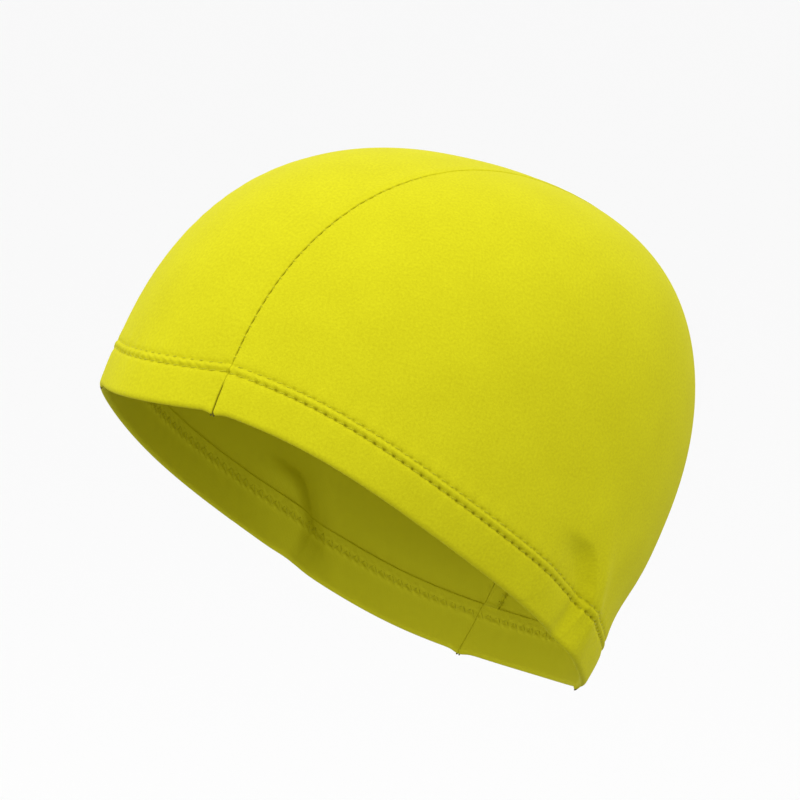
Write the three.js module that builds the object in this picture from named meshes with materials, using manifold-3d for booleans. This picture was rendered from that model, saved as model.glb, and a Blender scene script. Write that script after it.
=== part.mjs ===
// Swim cap of stretch cloth, in its worn shape: a centre panel from forehead to nape between two
// side panels, with a turned hem round the opening.
// Millimetres. +X is the wearer's left, +Y the back of the head and +Z up. The origin is where the
// top of the head touches the inside of the crown.
import * as THREE from 'three';
import { mergeVertices } from 'three/addons/utils/BufferGeometryUtils.js';
import Module from 'manifold-3d';

const wasm = await Module();
wasm.setup();

// Driving dimensions of the cap on an adult head
const reachFront = 92.4;    // crown axis to the forehead
const reachBack = 95.6;     // crown axis to the back of the head
const halfWidth = 83;       // crown axis to each side
const crownHeight = 89.4;   // widest ring to the crown
const crownBack = 8.8;      // how far the crown sits behind the middle of the widest ring
const brimTilt = 21.9;      // degrees the cap leans back, forehead up and nape down
const tipRound = 0.15;      // how far the plan is rounded off where it crosses the middle plane

const dropFront = 12.7;     // brim below the widest ring at the forehead
const dropSide = 35.3;      // brim below the widest ring at each ear
const dropBack = 55.6;      // brim below the widest ring at the nape
const templeArch = 2.8;     // how far the brim arches up between forehead and ear
const napeSag = 3;          // how far it sags between ear and nape
const foreheadSag = 3;      // how far it hangs at the forehead, between the seams
const brimGrip = 2.4;       // how far the brim draws in beside the ears, below the upper stitch row

const cloth = 1;            // one layer of knit
const hemHeight = 12.3;     // brim to the lower row of stitches
const rowGap = 2.5;         // lower row of stitches to the upper one
const rawEdge = 2.5;        // upper row to the end of the turned layer inside
const seamOffset = 31.6;    // middle plane to each seam
const seamGap = 0.3;        // clearance between sewn edges

// Mesh resolution
const segments = 96;
const crownRows = 12;
const rowCrowding = 1.25;   // above 1 sets the rows closer together near the hem
const meridianSteps = 120;

// Shape of each quarter. Plan and profile are powers of a superellipse, and tuck is the share of the
// half width by which the wall has drawn in one crown height below the widest ring.
const quarters = {
  front: { plan: 1.77, profile: 2.22, tuck: 0.12, drop: dropFront },
  side: { plan: 2.0, profile: 2.7, tuck: 0.15, drop: dropSide },
  back: { plan: 1.75, profile: 2.31, tuck: 0.14, drop: dropBack },
};

// Rows of the hem from its folded edge up: shares of the hem height, then of the gap between the
// stitch rows, then of the raw edge. Out is how far the outside stands proud and layers is the wall,
// both in layers of cloth.
const hemRows = [
  { hem: 0.05, gap: 0, edge: 0, out: 0.1, layers: 1.6 },
  { hem: 0.2, gap: 0, edge: 0, out: 0.45, layers: 2.3 },
  { hem: 0.6, gap: 0, edge: 0, out: 0.5, layers: 2.35 },
  { hem: 0.9, gap: 0, edge: 0, out: 0.35, layers: 2.2 },
  { hem: 1, gap: 0, edge: 0, out: -0.2, layers: 1.7 },
  { hem: 1, gap: 0.5, edge: 0, out: 0.4, layers: 2.2 },
  { hem: 1, gap: 1, edge: 0, out: -0.2, layers: 1.7 },
  { hem: 1, gap: 1, edge: 0.5, out: 0.1, layers: 2 },
  { hem: 1, gap: 1, edge: 1, out: 0, layers: 1.9 },
  { hem: 1, gap: 1, edge: 1.5, out: 0, layers: 1 },
];

// Dents and swells of the worn cloth behind each ear. Turn is degrees round from the forehead. Rise
// above the brim and the half length and half width are shares of the crown height, depth is in
// layers of cloth, and lean tips the long side forward from upright, in degrees.
const folds = [
  { turn: 109, rise: 0.21, length: 0.12, width: 0.1, depth: -2.2, lean: 25 },
  { turn: 119, rise: 0.21, length: 0.15, width: 0.05, depth: 1.5, lean: 30 },
  { turn: 116, rise: 0.06, length: 0.12, width: 0.07, depth: -1.4, lean: -10 },
  { turn: 148, rise: 0.27, length: 0.13, width: 0.3, depth: -1.6, lean: 0 },
  { turn: 140, rise: 0.7, length: 0.3, width: 0.3, depth: 0.6, lean: 0 },
  { turn: 122, rise: 1.38, length: 0.25, width: 0.3, depth: 1, lean: 0 },
];

const degrees = Math.PI / 180;

// A value that passes through its front, side and back values as the turn goes round
function blend(name, turn) {
  const { front, side, back } = quarters;
  const c = Math.cos(turn);
  const even = (front[name] + back[name]) / 2 - side[name];
  return side[name] + (front[name] - back[name]) / 2 * c + even * c * c;
}

// How far the brim lies below the widest ring
function brimDrop(turn) {
  const c = Math.cos(turn);
  const arch = 4 * Math.sin(turn) ** 2 * c ** 2;
  const towardSeam = reachFront * Math.sin(turn) / seamOffset;
  const sag = c > 0 ? foreheadSag * Math.max(1 - towardSeam ** 2, 0) : 0;
  return blend('drop', turn) + sag + arch * (napeSag * (1 - c) - templeArch * (1 + c)) / 2;
}

// Distance from the crown axis to the widest ring
function planRadius(turn) {
  const across = Math.sin(turn) / halfWidth;
  const along = Math.cos(turn) / (Math.cos(turn) > 0 ? reachFront : reachBack);
  const round = Math.hypot(across, along);
  const power = blend('plan', turn);
  const side = share => (share ** 2 + tipRound ** 2) ** (power / 2) - tipRound ** power;
  return (side(across / round) + side(along / round)) ** (-1 / power) / round;
}

// Point on the plain dome. Swing is 0 at the crown and a quarter turn at the widest ring, and goes
// on below it by the depth over the crown height.
function domePoint(turn, swing) {
  const across = Math.sin(turn);
  const along = -Math.cos(turn);
  const radius = planRadius(turn);
  const quarterTurn = Math.PI / 2;
  let out = radius;
  let height = 0;
  if (swing <= quarterTurn) {
    const profile = 2 / blend('profile', turn);
    out = radius * Math.sin(swing) ** profile;
    height = crownHeight * Math.max(Math.cos(swing), 0) ** profile;
  } else {
    const depth = swing - quarterTurn;
    out = radius - blend('tuck', turn) * halfWidth * depth ** 2;
    height = -crownHeight * depth;
  }
  return new THREE.Vector3(out * across, out * along + crownBack * height / crownHeight, height);
}

function domeNormal(turn, swing) {
  const step = 0.004;
  const low = domePoint(turn, swing + step);
  const high = domePoint(turn, Math.max(swing - step, step / 2));
  const before = domePoint(turn - step, swing);
  const after = domePoint(turn + step, swing);
  const down = low.sub(high);
  const round = after.sub(before);
  return round.cross(down).negate().normalize();
}

// The line from the brim to the crown at one turn, as a function from the distance along the cloth
// to the swing
function meridian(turn) {
  const brimSwing = Math.PI / 2 + brimDrop(turn) / crownHeight;
  const swings = [];
  const lengths = [];
  let last = null;
  let length = 0;
  for (let i = 0; i <= meridianSteps; i++) {
    const swing = brimSwing * (1 - i / meridianSteps);
    const point = domePoint(turn, swing);
    if (last) length += point.distanceTo(last);
    swings.push(swing);
    lengths.push(length);
    last = point;
  }
  const swingAt = distance => {
    let i = 1;
    while (i < meridianSteps && lengths[i] < distance) i++;
    const share = (distance - lengths[i - 1]) / (lengths[i] - lengths[i - 1]);
    return swings[i - 1] + share * (swings[i] - swings[i - 1]);
  };
  return { length, swingAt };
}

// Outward shift of the cloth at a turn and a distance above the brim, from the folds
function foldShift(turn, distance) {
  const fromFront = Math.acos(Math.cos(turn));
  let shift = 0;
  for (const fold of folds) {
    const aside = (fromFront - fold.turn * degrees) * halfWidth;
    const above = distance - fold.rise * crownHeight;
    const lean = fold.lean * degrees;
    const along = above * Math.cos(lean) - aside * Math.sin(lean);
    const across = aside * Math.cos(lean) + above * Math.sin(lean);
    const far = (along / (fold.length * crownHeight)) ** 2 + (across / (fold.width * crownHeight)) ** 2;
    shift += fold.depth * cloth * Math.exp(-far);
  }
  return shift;
}

// Outward shift of the hem, which grips the head beside the ears
function gripShift(turn, distance) {
  const share = Math.max(1 - distance / (hemHeight + rowGap), 0);
  return -brimGrip * Math.sin(turn) ** 4 * (1 + Math.cos(turn)) * share;
}

// Rings of the shell from the brim up, each with its distance along the cloth at one turn
function ringsAt(turn) {
  const line = meridian(turn);
  const rings = hemRows.map(row => ({
    distance: row.hem * hemHeight + row.gap * rowGap + row.edge * rawEdge,
    out: row.out,
    layers: row.layers,
  }));
  const start = rings.at(-1).distance;
  for (let i = 1; i < crownRows; i++) {
    const share = (i / crownRows) ** rowCrowding;
    rings.push({ distance: start + (line.length - start) * share, out: 0, layers: 1 });
  }
  return rings.map(ring => {
    const swing = line.swingAt(ring.distance);
    const normal = domeNormal(turn, swing);
    const outside = domePoint(turn, swing);
    const shift = foldShift(turn, ring.distance) + gripShift(turn, ring.distance);
    outside.addScaledVector(normal, ring.out * cloth + shift);
    const inside = outside.clone().addScaledVector(normal, -ring.layers * cloth);
    return { outside, inside };
  });
}

// The whole cap before it is parted at the seams: a nose ring at the brim's folded edge, rings up
// the outside and the inside, and a crown point on each
function shellGeometry() {
  const columns = [];
  for (let j = 0; j < segments; j++) {
    const turn = 2 * Math.PI * j / segments;
    const swing = Math.PI / 2 + brimDrop(turn) / crownHeight;
    const nose = domePoint(turn, swing);
    const shift = foldShift(turn, 0) + gripShift(turn, 0);
    nose.addScaledVector(domeNormal(turn, swing), shift - cloth * 0.7);
    columns.push({ nose, rings: ringsAt(turn) });
  }
  const rows = columns[0].rings.length;
  const positions = [];
  const put = point => positions.push(point.x, point.y, point.z) / 3 - 1;
  const noses = columns.map(column => put(column.nose));
  const outer = columns.map(column => column.rings.map(ring => put(ring.outside)));
  const inner = columns.map(column => column.rings.map(ring => put(ring.inside)));
  const crown = domePoint(0, 0);
  const outerCrown = put(crown);
  const innerCrown = put(crown.clone().add(new THREE.Vector3(0, 0, -cloth)));
  const faces = [];
  for (let j = 0; j < segments; j++) {
    const k = (j + 1) % segments;
    const onLeft = j < segments / 2;
    // Two triangles from four corners, split along diagonals that mirror each other left and right
    const quad = (a, b, c, d, outward) => {
      const pair = onLeft ? [[a, b, c], [a, c, d]] : [[a, b, d], [b, c, d]];
      for (const face of pair) faces.push(...(outward ? face : face.toReversed()));
    };
    quad(noses[j], noses[k], outer[k][0], outer[j][0], true);
    quad(noses[j], noses[k], inner[k][0], inner[j][0], false);
    for (let i = 0; i < rows - 1; i++) {
      quad(outer[j][i], outer[k][i], outer[k][i + 1], outer[j][i + 1], true);
      quad(inner[j][i], inner[k][i], inner[k][i + 1], inner[j][i + 1], false);
    }
    faces.push(outer[j][rows - 1], outer[k][rows - 1], outerCrown);
    faces.push(inner[k][rows - 1], inner[j][rows - 1], innerCrown);
  }
  const geometry = new THREE.BufferGeometry();
  geometry.setAttribute('position', new THREE.Float32BufferAttribute(positions, 3));
  geometry.setIndex(faces);
  return geometry;
}

function toSolid(geometry) {
  const bare = geometry.clone();
  bare.deleteAttribute('normal');
  bare.deleteAttribute('uv');
  const merged = mergeVertices(bare, 1e-5);
  const vertProperties = new Float32Array(merged.attributes.position.array);
  const triVerts = new Uint32Array(merged.index.array);
  return new wasm.Manifold(new wasm.Mesh({ numProp: 3, vertProperties, triVerts }));
}

function toGeometry(solid) {
  const mesh = solid.getMesh();
  const geometry = new THREE.BufferGeometry();
  geometry.setAttribute('position', new THREE.Float32BufferAttribute(mesh.vertProperties, 3));
  geometry.setIndex([...mesh.triVerts]);
  geometry.computeVertexNormals();
  return geometry;
}

// A block that spans the cap from one side plane to another
function block(fromX, toX) {
  const span = 4 * (reachFront + reachBack + crownHeight);
  const box = new THREE.BoxGeometry(toX - fromX, span, span);
  box.translate((fromX + toX) / 2, 0, 0);
  return toSolid(box);
}

function panel(name, solid) {
  const material = new THREE.MeshStandardMaterial({ color: 0xe6e41c, roughness: 0.85, metalness: 0 });
  const mesh = new THREE.Mesh(toGeometry(solid), material);
  mesh.name = name;
  return mesh;
}

const inEdge = seamOffset - seamGap / 2;
const outEdge = seamOffset + seamGap / 2;
const beyond = halfWidth * 2;
const shell = toSolid(shellGeometry());

const cap = new THREE.Group();
cap.add(panel('centre_panel', shell.intersect(block(-inEdge, inEdge))));
cap.add(panel('side_panel_left', shell.intersect(block(outEdge, beyond))));
cap.add(panel('side_panel_right', shell.intersect(block(-beyond, -outEdge))));

// Lean the cap back as it sits on the head, then bring the highest point inside it to the origin
cap.rotation.x = -brimTilt * degrees;
const highest = ringsAt(0)
  .map(ring => ring.inside.applyEuler(cap.rotation))
  .reduce((best, point) => (point.z > best.z ? point : best));
cap.position.copy(highest).negate();

export default cap;
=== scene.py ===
import math

import bmesh
import bpy
import numpy as np
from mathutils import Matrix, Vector


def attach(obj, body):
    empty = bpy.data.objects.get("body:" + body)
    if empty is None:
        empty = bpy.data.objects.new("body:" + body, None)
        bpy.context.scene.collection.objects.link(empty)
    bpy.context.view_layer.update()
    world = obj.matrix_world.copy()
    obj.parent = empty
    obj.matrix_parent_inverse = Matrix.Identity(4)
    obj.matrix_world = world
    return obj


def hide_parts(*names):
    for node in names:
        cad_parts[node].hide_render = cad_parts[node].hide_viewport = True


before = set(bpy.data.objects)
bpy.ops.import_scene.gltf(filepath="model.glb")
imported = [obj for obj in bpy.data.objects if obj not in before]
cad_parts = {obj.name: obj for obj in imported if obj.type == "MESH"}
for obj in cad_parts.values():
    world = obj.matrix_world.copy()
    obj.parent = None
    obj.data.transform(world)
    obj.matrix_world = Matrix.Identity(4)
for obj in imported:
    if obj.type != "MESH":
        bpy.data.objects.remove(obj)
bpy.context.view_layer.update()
bpy.ops.object.select_all(action="DESELECT")
print("frame loaded")

mm = 0.001
quarterTurn = math.pi / 2

# The worn cap in millimetres, degrees and shares, with the sizes of the part's source
cap = {
    "reachFront": 92.4,
    "reachBack": 95.6,
    "halfWidth": 83.0,
    "crownHeight": 89.4,
    "crownBack": 8.8,
    "brimTilt": 21.9,
    "tipRound": 0.15,
    "templeArch": 2.8,
    "napeSag": 3.0,
    "foreheadSag": 3.0,
    "brimGrip": 2.4,
    "seamOffset": 31.6,
    "ringCentre": (0.0, 1.905, -87.908),  # centre of the widest ring in the row frame
}
# Values at the front, the side and the back, blended between as the turn goes round
quarters = {
    "plan": (1.77, 2.0, 1.75),
    "profile": (2.22, 2.7, 2.31),
    "tuck": (0.12, 0.15, 0.14),
    "drop": (12.7, 35.3, 55.6),
}
# Dents and swells behind each ear: turn, rise, length, width, depth and lean
folds = [
    (109, 0.21, 0.12, 0.10, -2.2, 25),
    (119, 0.21, 0.15, 0.05, 1.5, 30),
    (116, 0.06, 0.12, 0.07, -1.4, -10),
    (148, 0.27, 0.13, 0.30, -1.6, 0),
    (140, 0.70, 0.30, 0.30, 0.6, 0),
    (122, 1.38, 0.25, 0.30, 1.0, 0),
]


def unit(vector):
    return vector / np.linalg.norm(vector, axis=-1, keepdims=True)


def quarterValue(name, turn):
    front, side, back = quarters[name]
    c = np.cos(turn)
    return side + (front - back) / 2 * c + ((front + back) / 2 - side) * c * c


def brimDrop(turn):
    c, s = np.cos(turn), np.sin(turn)
    arch = 4 * s**2 * c**2
    towardSeam = cap["reachFront"] * s / cap["seamOffset"]
    sag = np.where(c > 0, cap["foreheadSag"] * np.clip(1 - towardSeam**2, 0, None), 0)
    lean = cap["napeSag"] * (1 - c) - cap["templeArch"] * (1 + c)
    return quarterValue("drop", turn) + sag + arch * lean / 2


def planRadius(turn):
    reach = np.where(np.cos(turn) > 0, cap["reachFront"], cap["reachBack"])
    across, along = np.sin(turn) / cap["halfWidth"], np.cos(turn) / reach
    ring = np.hypot(across, along)
    power = quarterValue("plan", turn)

    def side(share):
        tip = cap["tipRound"]
        return (share**2 + tip**2) ** (power / 2) - tip**power

    return (side(across / ring) + side(along / ring)) ** (-1 / power) / ring


def domePoint(turn, swing):
    high = cap["crownHeight"]
    radius = planRadius(turn)
    power = 2 / quarterValue("profile", turn)
    upper = np.clip(swing, 1e-9, quarterTurn)
    depth = np.clip(swing - quarterTurn, 0, None)
    out = radius * np.sin(upper) ** power - quarterValue("tuck", turn) * cap["halfWidth"] * depth**2
    height = high * np.clip(np.cos(upper), 0, None) ** power - high * depth
    back = cap["crownBack"] * height / high
    return np.stack([out * np.sin(turn), -out * np.cos(turn) + back, height], -1)


def domeTurn(point):
    back = cap["crownBack"] * point[..., 2] / cap["crownHeight"]
    return np.arctan2(point[..., 0], back - point[..., 1])


def domeLevel(point):
    # 0 on the dome, below 0 inside it
    rise = point[..., 2] / cap["crownHeight"]
    turn = domeTurn(point)
    out = np.hypot(point[..., 0], point[..., 1] - cap["crownBack"] * rise)
    radius, power = planRadius(turn), quarterValue("profile", turn)
    upper = ((out / radius) ** power + np.clip(rise, 0, None) ** power) ** (1 / power) - 1
    tuck = quarterValue("tuck", turn) * cap["halfWidth"] * rise**2
    return np.where(rise > 0, upper, out / (radius - tuck) - 1)


def domeNormal(point, step=0.05):
    slope = []
    for axis in range(3):
        shift = np.zeros(3)
        shift[axis] = step
        slope.append(domeLevel(point + shift) - domeLevel(point - shift))
    return unit(np.stack(slope, -1))


def onDome(origin, direction):
    near, far = np.zeros(direction.shape[:-1]), np.full(direction.shape[:-1], 200.0)
    for _ in range(42):
        middle = (near + far) / 2
        outside = domeLevel(origin + middle[..., None] * direction) > 0
        far = np.where(outside, middle, far)
        near = np.where(outside, near, middle)
    return origin + near[..., None] * direction


def between(table, row, column):
    # a value between the entries of a table, at fractional places
    i = np.clip(np.floor(row).astype(int), 0, table.shape[0] - 2)
    j = np.clip(np.floor(column).astype(int), 0, table.shape[1] - 2)
    a, b = row - i, column - j
    top = table[i, j] * (1 - b) + table[i, j + 1] * b
    low = table[i + 1, j] * (1 - b) + table[i + 1, j + 1] * b
    return top * (1 - a) + low * a


# Lengths along the cloth from the brim, by turn and by share of the way to the crown
turnStep = math.radians(0.5)
turnList = np.arange(361) * turnStep
wayList = np.linspace(0, 1, 401)
brimSwing = quarterTurn + brimDrop(turnList) / cap["crownHeight"]
wayPoints = domePoint(turnList[:, None], brimSwing[:, None] * (1 - wayList))
wayLengths = np.zeros(wayPoints.shape[:2])
wayLengths[:, 1:] = np.cumsum(np.linalg.norm(np.diff(wayPoints, axis=1), axis=-1), 1)
nearStep = 0.25
nearSwings = np.array(
    [
        np.interp(np.arange(161) * nearStep, wayLengths[k], brimSwing[k] * (1 - wayList))
        for k in range(len(turnList))
    ]
)


def nearBrim(turn, distance):
    # the dome's point at a turn and a distance up from the brim
    aside = np.abs(turn)
    swing = between(nearSwings, aside / turnStep, distance / nearStep)
    return domePoint(turn, swing)


def brimDistance(point):
    turn = np.abs(domeTurn(point))
    rise = point[..., 2] / cap["crownHeight"]
    power = quarterValue("profile", turn)
    swing = np.where(
        rise > 0, np.arccos(np.clip(rise, 0, 1) ** (power / 2)), quarterTurn - rise
    )
    way = 1 - swing / (quarterTurn + brimDrop(turn) / cap["crownHeight"])
    return between(wayLengths, turn / turnStep, way * (len(wayList) - 1))


# The hem and its rows of stitches, in millimetres from the brim's folded edge
hem = {
    "lowerRow": 12.3,
    "upperRow": 14.8,
    "roll": 1.6,  # how far up the fold rounds off
    "middle": -0.72,  # the fold's nose under the outside
    "pitch": 3.3,
    "hole": 0.42,  # depth of the needle holes
    "holeSize": 0.4,
    "rope": 0.13,  # how far the ridge between the rows swells at each stitch
    "upperHole": 0.6,  # depth of the upper row's holes, as a share of the lower row's
    "softFront": (14, 40),  # degrees round from the forehead over which the holes deepen
    "softShare": 0.3,  # what is left of them at the forehead
    "ridge": 0.9,  # half width of the ridge between the rows
    "strokes": 1.9,  # half width of the slanted strokes over it
    "slant": 0.5,  # how many stitches a stroke leans over in a millimetre
    "pucker": 0.09,
    "puckerAbove": 4.5,  # how far the puckers reach over the rows, and under them
    "puckerBelow": 4,
    "step": 0.9,  # how far the hem steps out behind the crease
}
# Outside and wall over the distance up from the brim
hemOutside = [
    (0, 0.42), (2.5, 0.48), (7, 0.52), (10.6, 0.42), (11.6, 0.25), (12.3, -0.3), (12.9, 0.24),
    (13.5, 0.46), (14.1, 0.3), (14.8, -0.22), (15.5, 0.06), (16.4, 0.12), (17.4, 0.1),
    (19, 0.02), (21.5, 0), (400, 0),
]
hemWall = [
    (0, 2.3), (7, 2.35), (11.6, 2.15), (12.3, 1.75), (12.9, 2.2), (13.5, 2.3), (14.1, 2.2),
    (14.8, 1.75), (15.5, 2.0), (17.15, 1.95), (17.45, 1.0), (400, 1.0),
]
seam = {
    "offset": cap["seamOffset"],
    "pitch": 3.4,
    "open": 0.38,  # depth of the slits between the stitches
    "slit": 0.17,  # half width of a slit
    "trough": 0.16,  # shallow dip of the cloth along the whole seam
    "troughWidth": 1.5,
    "stagger": 0.22,  # how far each slit slants across the seam
    "rowEnd": (15.4, 16.2),  # distances from the brim between which the stitched slits start
    "hemSlit": (9.5, 7.5),  # and between which the long slit across the hem does
    "pullFront": (1.25, 0.85),  # angles up from the front between which the seam is pulled open
    "pullBack": (1.9, 2.5),
    "lip": 0.2,  # the centre panel over the seam allowance
    "lipWidth": 5.2,
    "pucker": 0.06,
    "tip": 0.9,  # how far the brim hangs lower at the end of the seam
    "tipWidth": 2.2,
}
# A fold line behind each ear, as turns and distances from the brim
crease = {
    "line": [
        (98, 26), (104, 27.5), (109.5, 27.5), (112, 25.5), (115.5, 20), (117.5, 14.5), (117, 6),
        (115.5, 0),
    ],
    "height": 1.7,
    "earSide": 1.5,  # how far the ridge reaches before the line, and behind it
    "backSide": 13.0,
    "dent": 0.9,
    "dentPlace": 4.5,  # middle of the dent before the line, and its half width
    "dentWidth": 3,
    "hemShare": 0.6,  # how much of the ridge and dent is lost at the brim
    "stepWidth": (-0.6, 8),  # where the hem's step starts and ends behind the line
    "stepReach": 16,  # how far round from the line it fades out
}


def softLine(table, soft):
    # a table of heights as a smooth function
    place, height = np.array(table).T
    step, half = 0.02, 60
    fine = np.arange(-2, 32, step)
    raw = np.interp(fine, place, height)
    kernel = np.exp(-(((np.arange(-half, half + 1) * step) / soft) ** 2))
    smooth = np.convolve(np.pad(raw, half, mode="edge"), kernel / kernel.sum(), mode="valid")
    return lambda distance: np.interp(distance, fine, smooth)


outsideLine = softLine(hemOutside, 0.28)
wallLine = softLine(hemWall, 0.1)

# Arc lengths that the stitches are counted along
rowPoints = nearBrim(turnList, np.full(turnList.shape, hem["lowerRow"]))
rowArc = np.concatenate([[0], np.cumsum(np.linalg.norm(np.diff(rowPoints, axis=0), axis=-1))])
hemStitches = round(rowArc[-1] / hem["pitch"])
hemPitch = rowArc[-1] / hemStitches
seamAngles = np.radians(np.linspace(-60, 240, 1201))


def sliceCurve(x, angles):
    # where the plane at x cuts the dome, by angle up from the front
    angles = np.asarray(angles, float)
    direction = np.stack([angles * 0, -np.cos(angles), np.sin(angles)], -1)
    origin = np.zeros(direction.shape)
    origin[..., 0] = x
    return onDome(origin, direction)


seamPoints = sliceCurve(seam["offset"], seamAngles)
seamArc = np.concatenate([[0], np.cumsum(np.linalg.norm(np.diff(seamPoints, axis=0), axis=-1))])
print("hem", round(2 * rowArc[-1]), "mm round,", 2 * hemStitches, "stitches a row")


def smoothStep(low, high, value):
    share = np.clip((value - low) / (high - low), 0, 1)
    return share * share * (3 - 2 * share)


def foldShift(turn, distance):
    aside = np.abs(turn)
    high = cap["crownHeight"]
    shift = 0
    for foldTurn, rise, length, width, depth, lean in folds:
        across = (aside - math.radians(foldTurn)) * cap["halfWidth"]
        above = distance - rise * high
        c, s = math.cos(math.radians(lean)), math.sin(math.radians(lean))
        far = ((above * c - across * s) / (length * high)) ** 2
        far = far + ((across * c + above * s) / (width * high)) ** 2
        shift = shift + depth * np.exp(-far)
    return shift


def gripShare(distance):
    return np.clip(1 - distance / hem["upperRow"], 0, 1)


def gripShift(turn, distance):
    pull = np.sin(turn) ** 4 * (1 + np.cos(turn))
    return -cap["brimGrip"] * pull * gripShare(distance)


def creaseShift(turn, distance):
    across = np.abs(turn) * cap["halfWidth"]
    corners = [(math.radians(t) * cap["halfWidth"], d) for t, d in crease["line"]]
    nearest, side, way = np.full(turn.shape, 1e9), turn * 0, turn * 0
    for k, (one, two) in enumerate(zip(corners, corners[1:])):
        ex, ey = two[0] - one[0], two[1] - one[1]
        share = ((across - one[0]) * ex + (distance - one[1]) * ey) / (ex * ex + ey * ey)
        share = np.clip(share, 0, 1)
        dx, dy = across - one[0] - share * ex, distance - one[1] - share * ey
        far = np.hypot(dx, dy)
        closer = far < nearest
        nearest = np.where(closer, far, nearest)
        side = np.where(closer, np.sign(ex * dy - ey * dx), side)
        way = np.where(closer, k + share, way)
    fade = smoothStep(0, 2, way)
    behind = side > 0
    ridge = np.exp(-nearest / np.where(behind, crease["backSide"], crease["earSide"]))
    fromDent = (nearest - crease["dentPlace"]) / crease["dentWidth"]
    dent = np.where(behind, 0, np.exp(-(fromDent**2)))
    step = np.exp(-nearest / crease["stepReach"])
    step = step * smoothStep(*crease["stepWidth"], nearest * side) - step / 2
    shift = crease["height"] * ridge - crease["dent"] * dent
    onHem = gripShare(distance)
    shift = shift * (1 - crease["hemShare"] * onHem) + 2 * hem["step"] * step * onHem
    return fade * shift


def hemPhase(turn):
    return np.interp(np.abs(turn), turnList, rowArc) / hemPitch


def seamPlace(point):
    angle = np.arctan2(point[..., 2], -point[..., 1])
    angle = np.where(angle < -math.pi / 3, angle + 2 * math.pi, angle)
    return angle, np.interp(angle, seamAngles, seamArc)


def seamPull(angle):
    # how far the seam is pulled open: fully near the hem and not at all over the crown
    pull = smoothStep(*seam["pullFront"], angle) + smoothStep(*seam["pullBack"], angle)
    return np.clip(pull, 0, 1)


def relief(point, distance):
    # outside and inside shifts along the normal, and how far down in a needle hole or seam slit the
    # cloth lies, which sets the painted shade darkening them
    turn = domeTurn(point)
    outside, wall = outsideLine(distance), wallLine(distance)
    phase = hemPhase(turn)
    holes = 0
    for row, lag in ((hem["lowerRow"], 0), (hem["upperRow"], 0.5)):
        hole = np.exp(-(((distance - row) / hem["holeSize"]) ** 2))
        hole = hole * (0.5 + 0.5 * np.cos(2 * math.pi * (phase - lag))) ** 3
        holes = holes + hole * (1 if row == hem["lowerRow"] else hem["upperHole"])
    start, end = np.radians(hem["softFront"])
    sideways = hem["softShare"] + (1 - hem["softShare"]) * smoothStep(start, end, np.abs(turn))
    holes = holes * sideways
    outside = outside - hem["hole"] * holes
    middleRow = (hem["lowerRow"] + hem["upperRow"]) / 2
    ridge = np.exp(-(((distance - middleRow) / hem["ridge"]) ** 2))
    skew = 2 * math.pi * (phase + hem["slant"] * (distance - middleRow))
    strokes = np.exp(-(((distance - middleRow) / hem["strokes"]) ** 2))
    outside = outside + hem["rope"] * (1.6 - sideways) * strokes * np.cos(skew)
    above = np.clip(distance - hem["upperRow"], 0, None)
    below = np.clip(hem["lowerRow"] - distance, 0, None)
    flutter = np.sin(phase * 3.1 + 1.3 * np.sin(phase * 0.55))
    flutter = flutter * np.exp(-((above / hem["puckerAbove"]) ** 2))
    flutter = flutter * np.exp(-((below / hem["puckerBelow"]) ** 2)) * (1 - ridge)
    outside = outside + hem["pucker"] * flutter
    roll = np.clip((distance - 0.02) / hem["roll"], 0, 1)
    roll = np.sqrt(np.clip(1 - (1 - roll) ** 2, 0, 1))
    inside = outside - wall
    outside = hem["middle"] + (outside - hem["middle"]) * roll
    inside = hem["middle"] + (inside - hem["middle"]) * roll
    # the seam: slits between its stitches, and one long slit across the hem
    away = np.abs(point[..., 0]) - seam["offset"]
    gap = np.abs(away)
    angle, place = seamPlace(point)
    pull = seamPull(angle)
    beat = place / seam["pitch"]
    slits = np.clip(0.6 + 0.9 * np.cos(2 * math.pi * beat), 0, 1) * pull
    slant = seam["stagger"] * (beat + 0.5 - np.floor(beat + 0.5) - 0.5)
    acrossHem = smoothStep(*seam["hemSlit"], distance)
    slits = slits * smoothStep(*seam["rowEnd"], distance) + acrossHem * 0.95
    slit = slits * np.exp(-((np.abs(away - slant * (1 - acrossHem)) / seam["slit"]) ** 2))
    trough = seam["trough"] * (0.35 + 0.65 * pull) * np.exp(-((gap / seam["troughWidth"]) ** 2))
    lip = np.where(away < 0, seam["lip"] * (1 - smoothStep(1.5, seam["lipWidth"] + 1.5, gap)), 0)
    pucker = seam["pucker"] * np.sin(place * 0.92 + 0.7 * away + 1.7 * np.sin(place * 0.21))
    pucker = pucker * np.exp(-((gap / 3.5) ** 2)) * (0.4 + 0.6 * pull)
    shift = foldShift(turn, distance) + gripShift(turn, distance) + creaseShift(turn, distance)
    shift = shift + lip + pucker
    outside = outside + shift - (seam["open"] * slit + trough) * roll
    inside = inside + shift + 0.15 * np.exp(-((gap / 0.5) ** 2)) * roll
    # painted shade: the needle holes and the slits of the seam are darkened in colour
    grooveShade = np.clip(holes + slit * (0.55 + 0.45 * acrossHem), 0, 1)
    return outside, inside, grooveShade


tilt = math.radians(-cap["brimTilt"])
meanRadius = 90


def toFrame(point):
    # leans the cap back and brings it to its place in the row frame, in metres
    x, y, z = point[..., 0], point[..., 1], point[..., 2]
    c, s = math.cos(tilt), math.sin(tilt)
    placed = np.stack([x, y * c - z * s, y * s + z * c], -1) + np.array(cap["ringCentre"])
    return placed * mm


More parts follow.
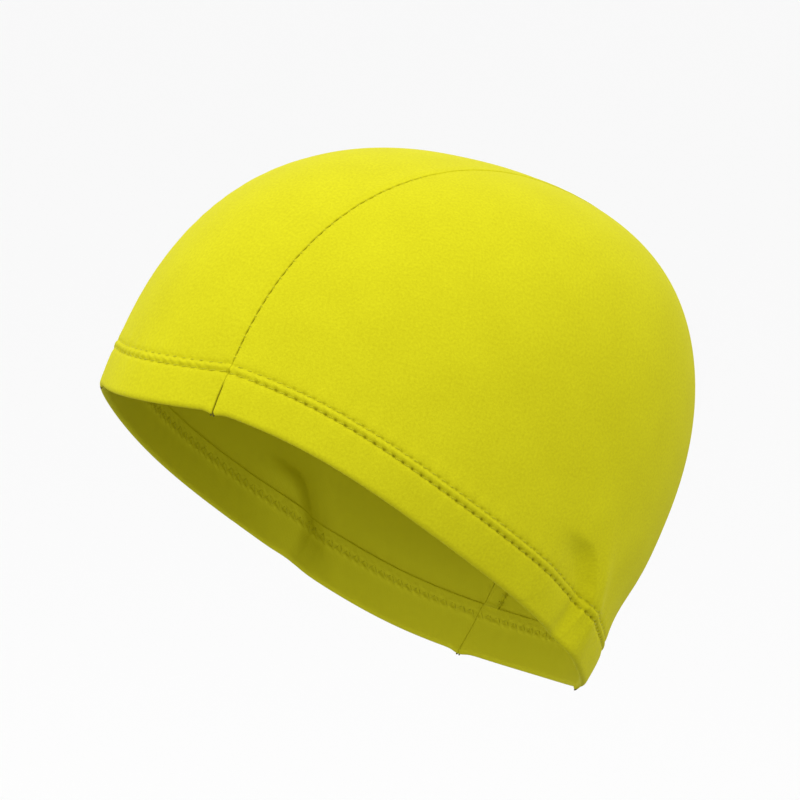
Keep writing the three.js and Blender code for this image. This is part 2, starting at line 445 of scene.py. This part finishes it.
def clothPlace(point):
    # flat coordinates of the knit in metres, wales running front to back
    middle = np.abs(point[..., 0]) < cap["seamOffset"]
    angle, place = seamPlace(point)
    strip = np.stack([point[..., 0], place, place * 0], -1)
    ray = unit(point)
    arc = np.arccos(np.clip(np.abs(ray[..., 0]), 0, 0.9999))
    flat = arc / (np.hypot(ray[..., 1], ray[..., 2]) + 1e-9) * meanRadius
    side = np.stack([ray[..., 1] * flat, ray[..., 2] * flat, place * 0], -1)
    return np.where(middle[..., None], strip, side) * mm


# Distances of the cloth's rows from the brim, close where the stitches are
hemRows = np.array(
    [0, 0.05, 0.14, 0.32, 0.56, 0.9, 1.25, 1.6, 2.4, 3.6, 5, 6.4, 7.8, 9.2, 10.2, 10.9, 11.4]
    + [11.7, 11.95, 12.15, 12.3, 12.45, 12.65, 12.9, 13.2, 13.55, 13.9, 14.2, 14.45, 14.65]
    + [14.8, 14.95, 15.15, 15.4, 15.8, 16.3, 16.8, 17.1, 17.22, 17.34, 17.46, 17.6, 18]
    + [18.7, 19.6, 20.6, 21.5]
)
seamGaps = np.array([0.02, 0.16, 0.34, 0.56, 0.85, 1.25, 1.8, 2.6, 3.6, 4.8, 6.2])
# Between the points of the cloth, and how far inside its hem and bands the coarser body starts
spacing = {"hem": 0.5, "band": 0.5, "body": 1.2, "inset": 1.3, "bodyRows": 90, "lookUp": 900}


def turnsAtX(distance, x, back=False):
    line = nearBrim(turnList, np.full(turnList.shape, float(distance)))[:, 0]
    top = int(np.argmax(line))
    if back:
        return np.interp(x, line[top:][::-1], turnList[top:][::-1])
    return np.interp(x, line[: top + 1], turnList[: top + 1])


class Cloth:
    # collects the points and faces of one panel, then makes its closed shell
    def __init__(self):
        self.points = []
        self.distances = []
        self.count = 0
        self.faces = []
        self.edges = []

    def add(self, points, distances=None):
        rows = self.count + np.arange(points[..., 0].size).reshape(points.shape[:-1])
        if distances is None:
            distances = brimDistance(points)
        self.points.append(points.reshape(-1, 3))
        self.distances.append(distances.ravel())
        self.count += rows.size
        return rows

    def grid(self, rows):
        quads = np.stack([rows[:-1, :-1], rows[:-1, 1:], rows[1:, 1:], rows[1:, :-1]], -1)
        self.faces += quads.reshape(-1, 4).tolist()

    def zip(self, one, two):
        # triangles between two rows of points with different counts
        i = j = 0
        while i < len(one) - 1 or j < len(two) - 1:
            nextOne = (i + 1) / (len(one) - 1) if i < len(one) - 1 else math.inf
            nextTwo = (j + 1) / (len(two) - 1) if j < len(two) - 1 else math.inf
            if nextOne <= nextTwo:
                self.faces.append([one[i], one[i + 1], two[j]])
                i += 1
            else:
                self.faces.append([one[i], two[j + 1], two[j]])
                j += 1

    def edge(self, row):
        # a row of points where the outside meets the inside
        self.edges.append(list(row))

    def make(self, name, layer=None):
        # the cloth itself, or with a layer, a strip of that thickness against its inside
        base, distance = np.concatenate(self.points), np.concatenate(self.distances)
        normal = domeNormal(base)
        outside, inside, grooveShade = relief(base, distance)
        if layer is not None:
            outside, grooveShade = inside - 0.05, grooveShade * 0
            inside = outside - layer(base)
        outer = toFrame(base + normal * outside[:, None])
        inner = toFrame(base + normal * inside[:, None])
        count = len(base)
        faces = [tuple(face) for face in self.faces]
        faces += [tuple(count + k for k in reversed(face)) for face in self.faces]
        for row in self.edges:
            for a, b in zip(row, row[1:]):
                faces.append((a, b, count + b, count + a))
        mesh = bpy.data.meshes.new(name)
        mesh.from_pydata(np.concatenate([outer, inner]).tolist(), [], faces)
        flat = clothPlace(base)
        wrong = 0 if layer is None else 1
        keep(mesh, "clothPlace", np.concatenate([flat, flat]))
        # the mask of painted shade in the needle holes and slits, kept on the outside only
        keep(mesh, "grooveShade", np.concatenate([grooveShade, grooveShade * 0]))
        keep(mesh, "wrongSide", np.concatenate([grooveShade * 0 + wrong, grooveShade * 0 + 1]))
        closeUp(mesh, name)
        return linked(name, mesh)


def keep(mesh, name, values):
    kind, key = ("FLOAT_VECTOR", "vector") if values.ndim > 1 else ("FLOAT", "value")
    store = mesh.attributes.new(name, kind, "POINT")
    store.data.foreach_set(key, values.astype(float).ravel())


def closeUp(mesh, name):
    made = bmesh.new()
    made.from_mesh(mesh)
    bmesh.ops.remove_doubles(made, verts=made.verts, dist=2e-6)
    bmesh.ops.recalc_face_normals(made, faces=made.faces)
    loose = [e for e in made.edges if len(e.link_faces) != 2]
    print(name, len(made.faces), "faces,", len(loose), "open edges")
    made.to_mesh(mesh)
    made.free()
    mesh.shade_smooth()


def linked(name, mesh):
    piece = bpy.data.objects.new(name, mesh)
    bpy.context.collection.objects.link(piece)
    return piece


def hemBlock(turns, distances):
    # rows of points up from the brim, which hangs a little lower at the end of each seam
    rows = np.broadcast_to(distances[:, None], turns.shape)
    gap = np.abs(np.abs(nearBrim(turns, rows)[..., 0]) - seam["offset"])
    share = np.clip(1 - rows / hem["lowerRow"], 0, 1) ** 2
    drop = seam["tip"] * np.exp(-((gap / seam["tipWidth"]) ** 2)) * share
    return nearBrim(turns, rows - drop), rows


def lengthOf(points):
    return np.linalg.norm(np.diff(points, axis=0), axis=-1).sum()


def shares(count):
    return np.linspace(0, 1, count + 1)


def alongSlice(x, first, last, count):
    # points at even arc lengths on the slice at x, from one of its points to another
    start = math.atan2(first[2], -first[1])
    end = math.atan2(last[2], -last[1])
    if end < -math.pi / 3:
        end += 2 * math.pi
    fine = np.linspace(start, end, spacing["lookUp"])
    curve = sliceCurve(x, fine)
    arc = np.concatenate([[0], np.cumsum(np.linalg.norm(np.diff(curve, axis=0), axis=-1))])
    made = sliceCurve(x, np.interp(shares(count) * arc[-1], arc, fine))
    made[0], made[-1] = first, last
    return made


def centrePanel():
    cloth = Cloth()
    seamX, top = seam["offset"], hemRows[-1]
    band = seamX - seamGaps
    innerCount = round(2 * band[-1] / spacing["hem"])
    xs = np.concatenate([-band, np.linspace(-band[-1], band[-1], innerCount + 1)[1:-1], band[::-1]])
    k = len(seamGaps)
    tops = []
    for back in (False, True):
        turns = np.stack([turnsAtX(d, np.abs(xs), back) * np.sign(xs + 1e-12) for d in hemRows])
        if back:
            turns = np.where(np.abs(xs) < 1e-9, math.pi, turns)
        points, distances = hemBlock(turns, hemRows)
        rows = cloth.add(points, distances)
        cloth.grid(rows if back else rows[:, ::-1])
        cloth.edge(rows[:, 0])
        cloth.edge(rows[:, -1])
        tops.append((rows[-1], points[-1]))
    (frontRow, frontTop), (backRow, backTop) = tops
    length = lengthOf(alongSlice(band[-1], frontTop[-k], backTop[-k], 400))
    bandCount = round(length / spacing["band"])
    sides = []
    for side in (-1, 1):
        columns = range(k) if side < 0 else range(len(xs) - 1, len(xs) - 1 - k, -1)
        lines = [alongSlice(xs[c], frontTop[c], backTop[c], bandCount) for c in columns]
        rows = cloth.add(np.stack(lines, 1))
        cloth.grid(rows if side < 0 else rows[:, ::-1])
        cloth.edge(rows[:, 0])
        sides.append(rows[:, -1])
    inset = spacing["inset"]
    bodyX = np.linspace(-band[-1] + inset, band[-1] - inset, round(2 * band[-1] / spacing["body"]))
    ends = []
    for back in (False, True):
        turns = turnsAtX(top + inset, np.abs(bodyX), back) * np.sign(bodyX + 1e-12)
        ends.append(nearBrim(turns, np.full(turns.shape, top + inset)))
    bodyCount = round(length / spacing["body"])
    body = np.stack(
        [alongSlice(bodyX[c], ends[0][c], ends[1][c], bodyCount) for c in range(len(bodyX))], 1
    )
    rows = cloth.add(body)
    cloth.grid(rows)
    middle = slice(k - 1, len(xs) - k + 1)
    cloth.zip(frontRow[middle], rows[0])
    cloth.zip(backRow[middle][::-1], rows[-1][::-1])
    cloth.zip(sides[0][::-1], rows[::-1, 0])
    cloth.zip(sides[1], rows[:, -1])
    return cloth.make("centre_knit")


def sidePanel(name, side):
    cloth = Cloth()
    seamX, top, k = seam["offset"], hemRows[-1], len(seamGaps)
    band = seamX + seamGaps
    inset = spacing["inset"]
    # even steps along the hem, as shares of the turn between its first and last point
    count = round((rowArc[-1] - 2 * seamX) / spacing["hem"])
    first, last = (turnsAtX(hemRows[0], band, back)[-1] for back in (False, True))
    ends = np.interp([first, last], turnList, rowArc)
    arcShare = np.interp(np.linspace(ends[0], ends[1], count + 1), rowArc, turnList)
    arcShare = (arcShare - first) / (last - first)
    turns = []
    for d in hemRows:
        front, back = turnsAtX(d, band), turnsAtX(d, band, True)
        middle = front[-1] + (back[-1] - front[-1]) * arcShare
        turns.append(np.concatenate([front, middle[1:-1], back[::-1]]))
    points, distances = hemBlock(np.stack(turns), hemRows)
    rows = cloth.add(points, distances)
    cloth.grid(rows[:, ::-1])
    cloth.edge(rows[:, 0])
    cloth.edge(rows[:, -1])
    hemTop, topRow = points[-1], rows[-1]
    length = lengthOf(alongSlice(band[0], hemTop[0], hemTop[-1], 400))
    bandCount = round(length / spacing["band"])
    lines = [alongSlice(band[c], hemTop[c], hemTop[-1 - c], bandCount) for c in range(k)]
    rows = cloth.add(np.stack(lines, 1))
    cloth.grid(rows)
    cloth.edge(rows[:, 0])
    arch = rows[:, -1]
    # the body, from the hem's top to an arch beside the seam
    across, up = round(length / spacing["body"] / 1.1), spacing["bodyRows"]
    x, low = band[-1] + inset, top + inset
    start, end = turnsAtX(low, x), turnsAtX(low, x, True)
    bottomTurns = start + (end - start) * np.interp(
        shares(across), shares(len(arcShare) - 1), arcShare
    )
    bottom = nearBrim(bottomTurns, np.full(bottomTurns.shape, low))
    crest = alongSlice(x, bottom[0], bottom[-1], across)
    one, two = unit(bottom), unit(crest)
    angle = np.arccos(np.clip((one * two).sum(-1), -1, 1))[None, :, None]
    share = shares(up)[:, None, None]
    angle = np.maximum(angle, 1e-6)
    way = (np.sin((1 - share) * angle) * one + np.sin(share * angle) * two) / np.sin(angle)
    body = onDome(np.zeros(way.shape), unit(way))
    body[0], body[-1] = bottom, crest
    rows = cloth.add(body)
    cloth.grid(rows[:, ::-1])
    cloth.zip(topRow[k - 1 : len(topRow) - k + 1], rows[0])
    cloth.zip(arch, rows[-1])
    if side < 0:
        for block in cloth.points:
            block[:, 0] *= -1
    return cloth.make(name)


centreKnit = centrePanel()
leftKnit = sidePanel("side_knit_left", 1)
rightKnit = sidePanel("side_knit_right", -1)


allowance = {
    "width": 5.0,
    "from": 16.8,  # where the strip comes out of the turned hem, up from the brim
    "thickness": 0.75,
    "rows": 260,
    "columns": (0.1, 0.35, 0.8, 1.5, 2.4, 3.3, 4.1, 4.6, 4.85, 5.0),
}


def seamAllowance(name, side):
    # the sewn edges inside, pressed towards the centre panel
    cloth = Cloth()
    start, end = allowance["from"], seam["offset"]
    lines = []
    for gap in allowance["columns"]:
        x = end - gap
        ends = [nearBrim(turnsAtX(start, x, back), np.float64(start)) for back in (False, True)]
        lines.append(alongSlice(x, ends[0], ends[1], allowance["rows"]))
    rows = cloth.add(np.stack(lines, 1))
    cloth.grid(rows)
    for row in (rows[0], rows[-1], rows[:, 0], rows[:, -1]):
        cloth.edge(row)

    def layer(base):
        across = (end - np.abs(base[:, 0])) / allowance["width"]
        crown = np.clip(1 - np.abs(2 * across - 1) ** 6, 0.12, 1)
        return allowance["thickness"] * crown

    if side < 0:
        for block in cloth.points:
            block[:, 0] *= -1
    return cloth.make(name, layer)


leftAllowance = seamAllowance("seam_allowance_left", 1)
rightAllowance = seamAllowance("seam_allowance_right", -1)

thread = {
    "radius": 0.19,
    "sides": 6,
    "steps": 6,
    "hemLength": 2.5,
    "hemRise": 0.5,
    "hemSlant": 9,  # degrees that each stitch leans across its row
    "hemLift": 0.14,  # how far the top of the arch stands over the cloth
    "seamLength": 1.5,
    "seamRise": 0.4,
    "seamLift": 0.12,
    "loopLength": 3.2,
    "loopRadius": 0.8,  # of the threads inside, as a share of the radius
    "edgeLength": 2.4,
    "edgePitch": 2.6,
    "edgeLean": 0.55,
    "stubLength": 1.7,
    "stubRise": 0.5,
    "stubRadius": 1.5,
}


def modelStitch(length, rise, radius):
    # an arch of thread whose ends dive into the cloth: a ring of thread spun along a bow
    bow = (length**2 / 4 + rise**2) / (2 * rise)
    sweep = 2 * math.asin(length / 2 / bow)
    bpy.ops.mesh.primitive_circle_add(
        vertices=thread["sides"],
        radius=radius,
        fill_type="NGON",
        location=(-length / 2, 0, -rise),
        rotation=(0, quarterTurn - sweep / 2, 0),
    )
    model = bpy.context.object
    bpy.ops.object.mode_set(mode="EDIT")
    bpy.ops.mesh.select_all(action="SELECT")
    bpy.ops.mesh.spin(steps=thread["steps"], angle=-sweep, center=(0, 0, -bow), axis=(0, 1, 0))
    bpy.ops.object.mode_set(mode="OBJECT")
    bpy.ops.object.transform_apply(location=True, rotation=True, scale=True)
    made = bmesh.new()
    made.from_mesh(model.data)
    bmesh.ops.recalc_face_normals(made, faces=made.faces)
    points = np.array([v.co[:] for v in made.verts])
    faces = [[v.index for v in face.verts] for face in made.faces]
    made.free()
    bpy.data.objects.remove(model)
    return points, faces


class Stitches:
    # collects copies of modelled stitches on the cloth, in millimetres in the dome's own frame
    def __init__(self):
        self.points, self.faces, self.marks = [], [], []
        self.count = 0

    def sew(self, model, places, along, out, paintedShade=0):
        points, faces = model
        out = unit(out - along * (out * along).sum(-1, keepdims=True))
        aside = np.cross(out, along)
        made = places[:, None] + (
            points[None, :, :1] * along[:, None]
            + points[None, :, 1:2] * aside[:, None]
            + points[None, :, 2:] * out[:, None]
        )
        for k in range(len(places)):
            start = self.count + k * len(points)
            self.faces += [[start + v for v in face] for face in faces]
        self.points.append(made.reshape(-1, 3))
        twist = np.tile(points[:, 0] + points[:, 1] * 2, len(places))
        # the first mark flags the stitches that are painted in the thread's shadow colour
        self.marks.append(np.stack([np.full(len(twist), float(paintedShade)), twist, twist * 0], -1))
        self.count += len(places) * len(points)

    def make(self, name):
        mesh = bpy.data.meshes.new(name)
        mesh.from_pydata(toFrame(np.concatenate(self.points)).tolist(), [], self.faces)
        keep(mesh, "threadPlace", np.concatenate(self.marks))
        mesh.update()
        mesh.shade_smooth()
        print(name, len(mesh.polygons), "faces")
        return linked(name, mesh)


def onCloth(base, distance, lift, within=False):
    # points over the outside of the cloth, or under its inside, and the way out of the cloth
    normal = domeNormal(base)
    outside, inside, _ = relief(base, distance)
    if within:
        return base + normal * (inside - lift)[:, None], -normal
    return base + normal * (outside + lift)[:, None], normal


def rowTurns(lag):
    beats = np.arange(hemStitches + (1 if lag == 0 else 0)) + lag
    turns = np.interp(beats * hemPitch, rowArc, turnList)
    mirrored = turns[(turns > 1e-6) & (turns < math.pi - 1e-6)]
    return np.concatenate([turns, -mirrored])


def clearOfSeam(turns, distance, gap):
    base = nearBrim(turns, np.full(turns.shape, distance))
    return turns[np.abs(np.abs(base[:, 0]) - seam["offset"]) > gap]


def sewHem():
    # the outside rows of the hem, and the looped thread between them inside
    rows, loops = Stitches(), Stitches()
    stitch = modelStitch(thread["hemLength"], thread["hemRise"], thread["radius"])
    inner = thread["radius"] * thread["loopRadius"]
    loop = modelStitch(thread["loopLength"], thread["hemRise"], inner)
    step = 0.004
    lean = math.radians(thread["hemSlant"])
    for distance, lag in ((hem["lowerRow"], 0.5), (hem["upperRow"], 0)):
        turns = clearOfSeam(rowTurns(lag), distance, 0.6)
        flat = np.full(turns.shape, distance)
        base = nearBrim(turns, flat)
        places, out = onCloth(base, flat, thread["hemLift"])
        ahead = nearBrim(np.clip(np.abs(turns) + step, 0, math.pi), flat)
        before = nearBrim(np.clip(np.abs(turns) - step, 0, math.pi), flat)
        along = unit(ahead - before)
        along[turns < 0, 0] *= -1
        up = np.cross(out, along) * np.where(turns < 0, -1, 1)[:, None]
        along = unit(along * math.cos(lean) + up * math.sin(lean))
        rows.sew(stitch, places, along, out)
    turns = rowTurns(0)
    for half in (0, 1):
        shift = np.sign(turns + 1e-9) * (0.25 + 0.5 * half) * hemPitch / cap["halfWidth"]
        middle = (hem["lowerRow"] + hem["upperRow"]) / 2
        centre = clearOfSeam(np.clip(turns + shift, -math.pi, math.pi), middle, 0.8)
        flat = np.full(centre.shape, middle)
        places, out = onCloth(nearBrim(centre, flat), flat, thread["hemLift"], within=True)
        reach = np.sign(centre) * hemPitch / 4 / cap["halfWidth"] * (1 if half else -1)
        low = nearBrim(centre - reach, flat - 1.25)
        high = nearBrim(centre + reach, flat + 1.25)
        loops.sew(loop, places, unit(high - low), out)
    return rows.make("hem_thread"), loops.make("hem_thread_inside")


def sewSeams():
    # threads that cross between the slits, the loops on the raw edges and a thread end at the brim
    radius = thread["radius"]
    stitch = modelStitch(thread["seamLength"], thread["seamRise"], radius * 0.9)
    edge = modelStitch(thread["edgeLength"], thread["hemRise"], radius * thread["loopRadius"])
    stub = modelStitch(thread["stubLength"], thread["stubRise"], radius * thread["stubRadius"])
    outer, inner, ends = Stitches(), Stitches(), Stitches()
    beats = np.arange(math.floor(seamArc[-1] / seam["pitch"])) + 0.5
    for side in (1, -1):
        arcs = beats * seam["pitch"]
        angles = np.interp(arcs, seamArc, seamAngles)
        base = sliceCurve(seam["offset"], angles)
        distance = brimDistance(base)
        used = (distance > 15.8) & (seamPull(angles) > 0.3)
        base, distance = base[used], distance[used]
        base[:, 0] *= side
        places, out = onCloth(base, distance, thread["seamLift"])
        along = unit(np.cross(np.cross(out, np.array([side, 0.0, 0.0])), out))
        outer.sew(stitch, places, along, out)
        # loops over the raw edge of the allowance
        x = seam["offset"] - allowance["width"] + 0.4
        angles = np.interp(np.arange(0, seamArc[-1], thread["edgePitch"]), seamArc, seamAngles)
        for lean in (-thread["edgeLean"], thread["edgeLean"]):
            base = sliceCurve(x, angles)
            distance = brimDistance(base)
            used = distance > allowance["from"] + 1
            base, distance = base[used], distance[used]
            forward = unit(np.gradient(base, axis=0))
            base[:, 0] *= side
            forward[:, 0] *= side
            places, out = onCloth(base, distance, allowance["thickness"] + 0.1, within=True)
            across = unit(np.cross(forward, out))
            inner.sew(edge, places, unit(across + forward * lean), out)
        # a cut thread end at each end of the seam, painted in the thread's shadow colour
        for back in (False, True):
            turn = np.array([float(turnsAtX(0, seam["offset"], back))]) * side
            base = nearBrim(turn, np.array([-seam["tip"] * 0.3]))
            normal = domeNormal(base)
            down = unit(nearBrim(turn, np.array([0.0])) - nearBrim(turn, np.array([1.0])))
            aside = np.cross(normal, down)
            shift = gripShift(turn, np.array([0.0])) - 0.2
            place = base + normal * shift
            for spread in (-0.35, 0.3):
                lean = unit(down + aside * spread)
                ends.sew(stub, place + aside * spread * 0.7, lean, normal, paintedShade=1)
    return outer.make("seam_thread"), inner.make("seam_thread_inside"), ends.make("thread_ends")


hemThread, hemThreadInside = sewHem()
seamThread, seamThreadInside, threadEnds = sewSeams()


class Value:
    # wraps a socket, so that arithmetic on it adds Math nodes
    def __init__(self, nodes, socket):
        self.nodes, self.socket = nodes, socket

    def maths(self, operation, *others):
        return self.nodes.maths(operation, self, *others)

    def __add__(self, other):
        return self.maths("ADD", other)

    def __sub__(self, other):
        return self.maths("SUBTRACT", other)

    def __rsub__(self, other):
        return self.nodes.maths("SUBTRACT", other, self)

    def __mul__(self, other):
        return self.maths("MULTIPLY", other)

    __radd__ = __add__
    __rmul__ = __mul__


class Nodes:
    # one material's node tree
    def __init__(self, name):
        self.material = bpy.data.materials.new(name)
        self.material.use_nodes = True
        self.tree = self.material.node_tree
        self.shader = self.tree.nodes["Principled BSDF"]

    def add(self, kind, settings, *values, out=0, **named):
        node = self.tree.nodes.new(kind)
        for key, value in settings.items():
            setattr(node, key, value)
        for key, value in [*enumerate(values), *named.items()]:
            self.feed(node.inputs[key if isinstance(key, int) else key.replace("_", " ")], value)
        return Value(self, node.outputs[out])

    def maths(self, operation, *values):
        return self.add("ShaderNodeMath", {"operation": operation}, *values)

    def feed(self, socket, value):
        if isinstance(value, Value):
            self.tree.links.new(value.socket, socket)
        else:
            socket.default_value = value

    def set(self, **named):
        for key, value in named.items():
            self.feed(self.shader.inputs[key.replace("_", " ")], value)


def blended(nodes, share, one, two):
    made = nodes.add("ShaderNodeMix", {"data_type": "RGBA"}, out=2)
    sockets = made.socket.node.inputs
    for place, value in ((0, share), (6, one), (7, two)):
        nodes.feed(sockets[place], value)
    return made


knitLook = {
    "colour": (0.83, 0.80, 0.012, 1),
    "shade": (0.66, 0.61, 0.006, 1),
    # painted shade colour for the needle holes and seam slits
    "paintedShade": (0.22, 0.19, 0.0, 1),
    "inside": (0.74, 0.71, 0.02, 1),
    "wale": 0.55,  # millimetres between the ribs of the knit
    "course": 0.45,
    "speckle": 1100.0,  # noise cells in a metre
    "cloud": 60.0,
    "bump": 0.00014,
}


def knitMaterial():
    look = knitLook
    nodes = Nodes("knit_cloth")
    place = nodes.add("ShaderNodeAttribute", {"attribute_name": "clothPlace"}, out="Vector")
    grooveShade = nodes.add("ShaderNodeAttribute", {"attribute_name": "grooveShade"}, out="Fac")
    wrongSide = nodes.add("ShaderNodeAttribute", {"attribute_name": "wrongSide"}, out="Fac")
    across = nodes.add("ShaderNodeSeparateXYZ", {}, place)
    along = Value(nodes, across.socket.node.outputs[1])
    wale = (across * (2 * math.pi / look["wale"] / mm)).maths("COSINE")
    course = (along * (2 * math.pi / look["course"] / mm) + wale * 1.4).maths("COSINE")
    knit = wale * 0.5 + course * 0.5
    mottle = nodes.add(
        "ShaderNodeTexNoise", {}, place, Scale=look["speckle"], Detail=3.0, Roughness=0.7
    )
    cloud = nodes.add("ShaderNodeTexNoise", {}, place, Scale=look["cloud"], Detail=2.0)
    tone = mottle * 1.7 + cloud * 0.5 - 0.5
    outer = blended(nodes, tone, look["shade"], look["colour"])
    both = blended(nodes, wrongSide, outer, look["inside"])
    # painted shade: the needle holes and seam slits are blended towards a dark colour
    paintedShade = blended(nodes, grooveShade * 0.85, both, look["paintedShade"])
    height = knit * 0.3 + mottle
    bump = nodes.add("ShaderNodeBump", {}, Strength=0.4, Distance=look["bump"], Height=height)
    nodes.set(Base_Color=paintedShade, Roughness=0.85, Normal=bump)
    nodes.set(Specular_IOR_Level=0.1, Sheen_Weight=0.02, Sheen_Roughness=0.5)
    return nodes.material


threadLook = {
    "colour": (0.80, 0.78, 0.016, 1),
    # painted shade between the turns of the ply
    "plyValleyShade": (0.52, 0.49, 0.004, 1),
    "shadow": (0.16, 0.14, 0.004, 1),
    "ply": 0.5,  # millimetres from one turn of the ply to the next
    "bump": 0.00008,
}


def threadMaterial():
    look = threadLook
    nodes = Nodes("sewing_thread")
    place = nodes.add("ShaderNodeAttribute", {"attribute_name": "threadPlace"}, out="Vector")
    dark = nodes.add("ShaderNodeSeparateXYZ", {}, place)
    twist = Value(nodes, dark.socket.node.outputs[1])
    ply = (twist * (2 * math.pi / look["ply"])).maths("SINE") * 0.5 + 0.5
    # painted shade: the thread is darker between the turns of its ply
    lit = blended(nodes, ply, look["plyValleyShade"], look["colour"])
    bump = nodes.add("ShaderNodeBump", {}, Strength=0.6, Distance=look["bump"], Height=ply)
    # painted shadow: the flagged thread ends take the shadow colour
    nodes.set(Base_Color=blended(nodes, dark, lit, look["shadow"]), Roughness=0.6, Normal=bump)
    nodes.set(Specular_IOR_Level=0.25)
    return nodes.material


knit, sewing = knitMaterial(), threadMaterial()
for piece, node in (
    (centreKnit, "centre_panel"),
    (leftKnit, "side_panel_left"),
    (rightKnit, "side_panel_right"),
):
    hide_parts(node)
clothPieces = [centreKnit, leftKnit, rightKnit, leftAllowance, rightAllowance]
threadPieces = [hemThread, hemThreadInside, seamThread, seamThreadInside, threadEnds]
for piece in clothPieces + threadPieces:
    piece.data.materials.append(knit if piece in clothPieces else sewing)
    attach(piece, "root")
print("cloth dressed")

# The photograph's viewpoint: the image is 800 by 800, and the dome's centre is at centrePixel
view = {
    "azimuth": 55.3,
    "elevation": 9.5,
    "distance": 1.3,
    "pixelsPerMm": 3.244,
    "centrePixel": (388.3, 436.2),
    "imageSize": 800,
    "sensor": 36.0,
}


def makeCamera():
    a, e = math.radians(view["azimuth"]), math.radians(view["elevation"])
    back = Vector((math.sin(a) * math.cos(e), -math.cos(a) * math.cos(e), math.sin(e)))
    right = Vector((math.cos(a), math.sin(a), 0))
    up = back.cross(right)
    centre = Vector(cap["ringCentre"]) * mm
    half = view["imageSize"] / 2
    aside = (half - view["centrePixel"][0]) / view["pixelsPerMm"] * mm
    rise = (view["centrePixel"][1] - half) / view["pixelsPerMm"] * mm
    lens = view["pixelsPerMm"] * view["distance"] / mm / view["imageSize"] * view["sensor"]
    data = bpy.data.cameras.new("camera")
    data.sensor_width = view["sensor"]
    data.lens = lens
    camera = bpy.data.objects.new("camera", data)
    bpy.context.collection.objects.link(camera)
    camera.location = centre + back * view["distance"]
    aim = centre + right * aside + up * rise
    camera.rotation_mode = "QUATERNION"
    camera.rotation_quaternion = (aim - camera.location).to_track_quat("-Z", "Y")
    bpy.context.scene.camera = camera
    return back, right, up, centre


back, right, up, centre = makeCamera()
bpy.context.scene.view_settings.view_transform = "Standard"

studio = {
    "floorDrop": 0.42,
    "floorSize": 24.0,
    "floorColour": (0.94, 0.94, 0.94, 1),
    "skyAbove": 1.0,
    "skyBelow": 0.32,
    "skyBlend": (-0.25, 0.05),  # heights between which the sky brightens
    "keyPlace": (-0.6, 1.3, 0.9),  # right, up and back towards the camera
    "keySize": 1.0,
    "keyPower": 4.0,
}


def areaLight(name, place, target, size, power):
    data = bpy.data.lights.new(name, "AREA")
    data.energy = power
    data.size = size
    light = bpy.data.objects.new(name, data)
    bpy.context.collection.objects.link(light)
    light.location = place
    light.rotation_mode = "QUATERNION"
    light.rotation_quaternion = (target - place).to_track_quat("-Z", "Y")


bpy.ops.mesh.primitive_plane_add(size=studio["floorSize"], location=(0, 0, -studio["floorDrop"]))
floor = bpy.context.object
floor.name = "floor"
bpy.ops.object.transform_apply(location=True, rotation=True, scale=True)
floorLook = Nodes("floor_paint")
floorLook.set(Base_Color=studio["floorColour"], Roughness=0.9)
floor.data.materials.append(floorLook.material)
floor.visible_diffuse = False  # the fill from below comes from the world alone


def makeWorld():
    # a soft studio: bright above, dimmer below
    world = bpy.data.worlds.new("studio")
    world.use_nodes = True
    tree = world.node_tree
    place = tree.nodes.new("ShaderNodeTexCoord")
    split = tree.nodes.new("ShaderNodeSeparateXYZ")
    ramp = tree.nodes.new("ShaderNodeMapRange")
    ramp.interpolation_type = "SMOOTHSTEP"
    ramp.inputs["From Min"].default_value, ramp.inputs["From Max"].default_value = studio["skyBlend"]
    ramp.inputs["To Min"].default_value = studio["skyBelow"]
    ramp.inputs["To Max"].default_value = studio["skyAbove"]
    tree.links.new(place.outputs["Generated"], split.inputs[0])
    tree.links.new(split.outputs["Z"], ramp.inputs["Value"])
    tree.links.new(ramp.outputs[0], tree.nodes["Background"].inputs["Strength"])
    tree.nodes["Background"].inputs["Color"].default_value = (1, 1, 1, 1)
    bpy.context.scene.world = world


makeWorld()
aside, above, near = studio["keyPlace"]
keyPlace = centre + right * aside + up * above + back * near
areaLight("key", keyPlace, centre, studio["keySize"], studio["keyPower"])
print("studio lit")
